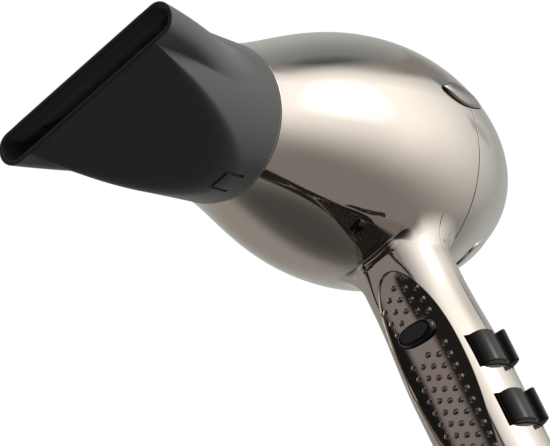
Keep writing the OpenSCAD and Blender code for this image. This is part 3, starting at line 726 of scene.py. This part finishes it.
def panel_mesh():
    """The panel without its studs."""
    drops = np.r_[np.linspace(WINDOW_TOP + 0.12, WINDOW_TOP + 2.5, 14),
                  np.linspace(WINDOW_TOP + 3, WINDOW_BOTTOM - 4, 110),
                  np.linspace(WINDOW_BOTTOM - 3.6, WINDOW_BOTTOM - 0.12, 12)]
    across = np.linspace(-1, 1, 61)
    rows = []
    for drop in drops:
        half = max(float(window_half(drop)) - RIM - RIM_STEP - PANEL_GAP, 0.12)
        x = half * across
        y = panel_y(x, drop)
        edge = [(half + 0.06, y[-1] + 0.1), (half + 0.08, y[-1] + PANEL_THICK)]
        rows.append(np.vstack([
            np.stack([x, y, np.full(len(x), AXIS_Z - drop)], 1),
            [(a, b, AXIS_Z - drop) for a, b in edge],
            [(-a, b, AXIS_Z - drop) for a, b in edge[::-1]]]))
    return loft("panel_base", rows, sharp=50)


def stud(x, drop):
    """One low dome with a soft foot, let into the panel a little."""
    profile = [(STUD_R + 0.35, 0.35), (STUD_R + 0.35, -0.01), (STUD_R + 0.1, -0.06),
               (STUD_R - 0.1, -0.17), (STUD_R - 0.3, -0.26), (STUD_R - 0.55, -STUD_H + 0.02),
               (0.12, -STUD_H)]
    turn = np.linspace(0, 2 * np.pi, 24, endpoint=False)
    y0 = float(panel_y(x, drop))
    rings = [np.stack([x + r * np.cos(turn), y0 + h + r * np.cos(turn) * x / PANEL_CROWN,
                       AXIS_Z - drop + r * np.sin(turn)], 1) for r, h in profile]
    return loft("stud", rings, sharp=60)


UPPER_STUDS, LOWER_STUDS = 58.2, 86.4  # drops of the first studs above and below the button
pieces = [panel_mesh()]
for column in range(-2, 3):
    x = column * STUD_X
    drops = [UPPER_STUDS + (i + abs(column) / 2) * STUD_Z for i in range(3)]
    drops += [LOWER_STUDS + (i + abs(column) % 2 / 2) * STUD_Z for i in range(14)]
    pieces += [stud(x, d) for d in drops if window_half(d) > abs(x) + STUD_MARGIN]
cut(pieces[0], button_hole("panel_cut"), sharp=50)
panel = joined("grip_panel_skin", pieces)
dress(panel, "trim_grip", "housing", "grip_panel")

# ---------------------------------------------------------------- cool-shot button
FACE_Y = BUTTON_LOW[1]


def button_ring(inset, depth):
    ring = button_outline(-inset, 96)
    return np.stack([ring[:, 0], np.full(len(ring), FACE_Y + depth), ring[:, 1]], 1)


crown = [(0.0, 3.8), (0.0, 2.2), (0.06, 1.6), (0.22, 1.1), (0.5, 0.65), (0.9, 0.3), (1.4, 0.1),
         (2.0, 0.02), (2.8, 0.04), (3.6, 0.1), (4.0, 0.12)]
cap = loft("cool_shot_cap", [button_ring(*corner) for corner in crown], sharp=50)
dress(cap, "button_black", "cool_shot_button", "cool_shot_button")

# ---------------------------------------------------------------- rockers
lobes = np.vstack([
    bezier((15.2, -8.8), (19.6, -7.9), (20.7, -5.8), (20.8, -1.6), 20)[:-1],
    bezier((20.8, -1.6), (20.8, 0.2), (19.6, 0.6), (19.2, 1.6), 10)[:-1],
    bezier((19.2, 1.6), (19.1, 2.8), (21.8, 2.3), (22.5, 3.6), 14)[:-1],
    bezier((22.5, 3.6), (22.9, 4.5), (21.4, 6.0), (17.6, 6.4), 14)[:-1],
    [(14.6, 6.6), (12.6, 3.0), (12.6, -3.0), (13.8, -8.2)]])
for key, z in ROCKER_Z.items():
    rocker = prism(key + "_cap", lobes, z - ROCKER_H / 2, z + ROCKER_H / 2)
    bevel(rocker, 0.75, segments=5, angle=50)
    dress(rocker, "switch_black", key, key)

# ---------------------------------------------------------------- release tabs
TAB_Y0, TAB_LEN, TAB_HALF, TAB_LIFT, TAB_UNDER = 1.8, 27.6, 4.7, 1.7, 0.3
POCKET_GROW, POCKET_UNDER, POCKET_OVER = 0.35, -1.5, 4.0


def tab_rows(side, grow=0.0, under=TAB_UNDER, over=0.34):
    """Rows of a leaf on the barrel's side, or of the pocket that it tips into."""
    rows = []
    u = np.cos(np.linspace(0, np.pi, 33))
    for s in 0.5 - 0.5 * np.cos(np.linspace(0.06, np.pi - 0.06, 64)):
        y = TAB_Y0 - grow + (TAB_LEN + 2 * grow) * s
        half = (TAB_HALF + grow) * math.sin(math.pi * s**0.75)
        rise = (TAB_LIFT - TAB_UNDER) * min(1.0, math.sin(math.pi * s**0.75) * 1.6) ** 0.5
        top = over + rise * (1 - abs(u) ** 3.2) ** (1 / 2.4)
        r = np.r_[barrel_r(y) + top, np.full(len(u) - 2, barrel_r(y) + under)]
        z = half * np.r_[u, u[::-1][1:-1]]
        rows.append(np.stack([side * np.sqrt(r * r - z * z), np.full(len(z), y), AXIS_Z + z], 1))
    return rows


# the tabs' nickel is a darker copy of the shell's nickel: painted shade for the dim reflection on their
# upturned faces; its higher roughness is a brushed finish
TAB_SHADED_NICKEL = material(
    "brushed_nickel_painted_shade", (0.46, 0.45, 0.42), 0.2, 1, grain=(1500, 0.1, 0.02), wear=(90, 0.05))
for side, key in ((1, "release_tab_left"), (-1, "release_tab_right")):
    pocket = loft(key + "_pocket", tab_rows(side, POCKET_GROW, POCKET_UNDER, POCKET_OVER), sharp=60)
    cut(cover_skin, pocket, sharp=SHELL_SHARP)
    leaf = dress(loft(key + "_leaf", tab_rows(side), sharp=60), "shell", key, key)
    # each leaf takes the darker nickel, which is painted shade
    leaf.data.materials[0] = TAB_SHADED_NICKEL

# ---------------------------------------------------------------- foot of the handle
foot_x, foot_y = front_section(WINDOW_BOTTOM + 1)
side_angles = np.linspace(PARTING, 2 * np.pi - PARTING, 90)[1:-1]
side_x, side_y = GRIP_R * np.sin(side_angles), GRIP_Y - GRIP_R * np.cos(side_angles)
foot_ring = np.stack([np.r_[foot_x, side_x], np.r_[foot_y, side_y]], 1)
foot_ring = resample(np.vstack([foot_ring, foot_ring[:1]]), 193)[:-1]
BORE, FOOT_FLOOR, FOOT_TURN_IN, FOOT_TURN_UP = 6.55, 5.0, 5.0, 6.5


def foot_row(inset, z):
    """The handle's outline, moved inwards."""
    angle = np.arctan2(foot_ring[:, 0], GRIP_Y - foot_ring[:, 1])
    r = np.hypot(foot_ring[:, 0], foot_ring[:, 1] - GRIP_Y) - inset
    return np.stack([r * np.sin(angle), GRIP_Y - r * np.cos(angle), np.full(len(r), z)], 1)


def bore_row(radius, z):
    """A circle for the cord, with its points in the directions of the outline's."""
    angle = np.arctan2(foot_ring[:, 0], -foot_ring[:, 1])
    return np.stack([radius * np.sin(angle), -radius * np.cos(angle), np.full(len(angle), z)], 1)


turned_edge = [(FOOT_TURN_IN * (1 - math.cos(a)), FOOT_TURN_UP * (1 - math.sin(a)))
               for a in np.linspace(0, np.pi / 2, 12)]
cap_rows = [foot_row(WALL, FOOT_FLOOR), foot_row(WALL, CAP_Z - 0.1), foot_row(0.2, CAP_Z - 0.1),
            foot_row(0.0, CAP_Z - 0.3)]
cap_rows += [foot_row(inset, z) for inset, z in turned_edge]
cap_rows += [bore_row(BORE + 0.3, 0.0), bore_row(BORE, 0.3), bore_row(BORE, FOOT_FLOOR - 0.1)]
dress(loft("handle_foot", cap_rows, closed_rows=True), "shell", "housing", "handle_end_cap")

# softened edges on CAD pieces that show
SOFT_EDGE = 0.18
for key in ("outlet_grille", "inlet_grille", "cord_gland", "snap_ring", "shell_screws"):
    soften = frame["nodes"][key].modifiers.new("soften", "BEVEL")
    soften.width, soften.segments, soften.limit_method = SOFT_EDGE * MM, 3, "ANGLE"

# ---------------------------------------------------------------- studio
world = bpy.data.worlds.new("studio")
bpy.context.scene.world = world
world.use_nodes = True
sky, wire = world.node_tree.nodes, world.node_tree.links
sky.clear()


def sum_of(operation, *values):
    """A math node on numbers or sockets."""
    node = sky.new("ShaderNodeMath")
    node.operation = operation
    for socket, value in zip(node.inputs, values):
        if isinstance(value, (int, float)):
            socket.default_value = value
        else:
            wire.new(value, socket)
    return node.outputs[0]


def ramp(value, low, high, smooth=True):
    """0 at low and 1 at high, smooth or straight in between."""
    node = sky.new("ShaderNodeMapRange")
    node.interpolation_type = "SMOOTHSTEP" if smooth else "LINEAR"
    wire.new(value, node.inputs["Value"])
    node.inputs["From Min"].default_value = low
    node.inputs["From Max"].default_value = high
    return node.outputs["Result"]


direction = sky.new("ShaderNodeSeparateXYZ")
wire.new(sky.new("ShaderNodeTexCoord").outputs["Generated"], direction.inputs[0])
x_out, y_out, z_out = direction.outputs
AZIMUTH = sum_of("MULTIPLY", sum_of("ARCTAN2", x_out, sum_of("MULTIPLY", y_out, -1.0)), math.degrees(1))
ELEVATION = sum_of("MULTIPLY", sum_of("ARCSINE", z_out), math.degrees(1))


def band(low, high, soft_low, soft_high):
    """1 between two elevations, with soft ends."""
    rise = ramp(ELEVATION, low - soft_low, low + soft_low)
    fall = ramp(ELEVATION, high + soft_high, high - soft_high)
    return sum_of("MULTIPLY", rise, fall)


def sector(centre, half, soft):
    """1 within an azimuth of a direction, with soft sides."""
    away = sum_of("ABSOLUTE", sum_of("WRAP", sum_of("SUBTRACT", AZIMUTH, float(centre)), 180.0, -180.0))
    return ramp(away, half + soft, half - soft)


def over(under, color, amount):
    """A colour or socket laid over another by an amount."""
    node = sky.new("ShaderNodeMix")
    node.data_type = "RGBA"
    wire.new(amount, node.inputs["Factor"])
    for socket, value in ((node.inputs["A"], under), (node.inputs["B"], color)):
        if isinstance(value, tuple):
            socket.default_value = (*value, 1)
        else:
            wire.new(value, socket)
    return node.outputs["Result"]


def warm(level, tint=(1.0, 0.93, 0.85)):
    return tuple(level * t for t in tint)


def cool(level):
    return warm(level, (1.0, 1.03, 1.0))


def layer(color, *amounts):
    """One more region of the room over the light so far, where all its amounts are high."""
    amount = amounts[0]
    for other in amounts[1:]:
        amount = sum_of("MULTIPLY", amount, other)
    return over(light, color, amount)


# room: taupe below, grey above, lighter behind
light = over(warm(0.22), cool(0.40), ramp(ELEVATION, -45, 20))
light = layer(cool(0.46), sector(205, 22, 30), band(-10, 75, 10, 5))
light = layer(warm(0.13, (1.0, 0.95, 0.85)), sector(240, 26, 20), band(-75, -22, 12, 14))
light = layer(cool(0.115), sector(122, 26, 52), band(36, 85, 6, 25))
light = layer(warm(0.07), sector(-112, 40, 26), band(-95, -32, 5, 12))
# dark front of the room, and a grey wall on the right
light = layer(warm(0.02), sector(-5, 62, 14), band(-85, 4, 6, 8))
light = layer(warm(0.30), sector(-112, 24, 10), band(-20, 75, 10, 10))
light = layer(warm(0.25, (1.0, 0.88, 0.82)), sector(-28, 60, 6), band(4, 75, 6, 10))
light = layer(warm(0.012), sector(-58, 18, 3), band(2, 75, 6, 10))
light = layer(warm(0.016), sector(-3, 15, 3), band(2, 75, 6, 10))
light = layer(warm(0.016), sector(-9, 14, 2), band(2, 24, 6, 2))
# large soft light on the left, fading downwards and backwards, and upwards at its rear end
fade = ramp(ELEVATION, -56, 6)
edge = ramp(ELEVATION, 42, 40)
back_fade = ramp(AZIMUTH, 178, 122, False)
later = sum_of("MULTIPLY", ramp(ELEVATION, 6, 24), 14.0)  # higher up, the light begins further round
front_side = ramp(sum_of("SUBTRACT", AZIMUTH, later), 18, 74)
beyond = sum_of("MULTIPLY", ramp(AZIMUTH, 100, 130), ramp(ELEVATION, 21, 41, False))
top_fade = sum_of("SUBTRACT", 1.0, beyond)
light = layer(warm(1.28, (1.0, 0.96, 0.91)), fade, edge, back_fade, front_side, top_fade)
# its bright core, and dimmer patches along its upper edge and at its rear end
light = layer(warm(6.5, (1.0, 0.98, 0.95)), sector(97, 8, 14), band(0, 26, 14, 6))
light = layer(warm(0.26), sector(156, 24, 14), band(32, 45, 3, 1), edge)
light = layer(cool(0.09), sector(121, 13, 8), band(42.5, 50, 1, 4))
light = layer(cool(0.22), sector(163, 9, 2), band(28, 34, 1.5, 2))
light = layer(cool(0.44), sector(164, 6, 2), band(13.5, 19, 1.5, 2))

path = sky.new("ShaderNodeLightPath")
backdrop = over(light, (1.0, 1.0, 1.0), path.outputs["Is Camera Ray"])
glow = sky.new("ShaderNodeBackground")
wire.new(backdrop, glow.inputs["Color"])
wire.new(glow.outputs[0], sky.new("ShaderNodeOutputWorld").inputs["Surface"])

bpy.context.scene.view_settings.view_transform = "Standard"


def area_light(name, azimuth, elevation, distance, size, power, color=(1, 1, 1)):
    """A soft lamp aimed at the barrel, seen by matte surfaces only."""
    lamp = bpy.data.lights.new(name, "AREA")
    lamp.shape, lamp.size, lamp.energy, lamp.color = "DISK", size, power, color
    holder = bpy.data.objects.new(name, lamp)
    bpy.context.scene.collection.objects.link(holder)
    a, e = math.radians(azimuth), math.radians(elevation)
    way = Vector((math.sin(a) * math.cos(e), -math.cos(a) * math.cos(e), math.sin(e)))
    target = Vector((0, 0, AXIS_Z * MM))
    holder.location = target + way * distance
    holder.rotation_mode = "QUATERNION"
    holder.rotation_quaternion = (-way).to_track_quat("-Z", "Y")
    holder.visible_glossy = False


area_light("key", 110, 20, 1.2, 0.7, 26.0, (1.0, 0.99, 0.96))
area_light("top", 160, 70, 1.2, 0.8, 2.0)

FLOOR_Z, FLOOR_HALF = -0.8, 3.0  # in metres
floor_corners = [(a * FLOOR_HALF, b * FLOOR_HALF, FLOOR_Z) for a, b in ((-1, -1), (1, -1), (1, 1), (-1, 1))]
floor = bpy.data.meshes.new("floor")
floor.from_pydata(floor_corners, [], [(0, 1, 2, 3)])
floor.materials.append(material("pale_floor", (0.82, 0.81, 0.79), 0.7, wear=(3, 0.05)))
ground = bpy.data.objects.new("floor", floor)
bpy.context.scene.collection.objects.link(ground)
ground.visible_glossy = False
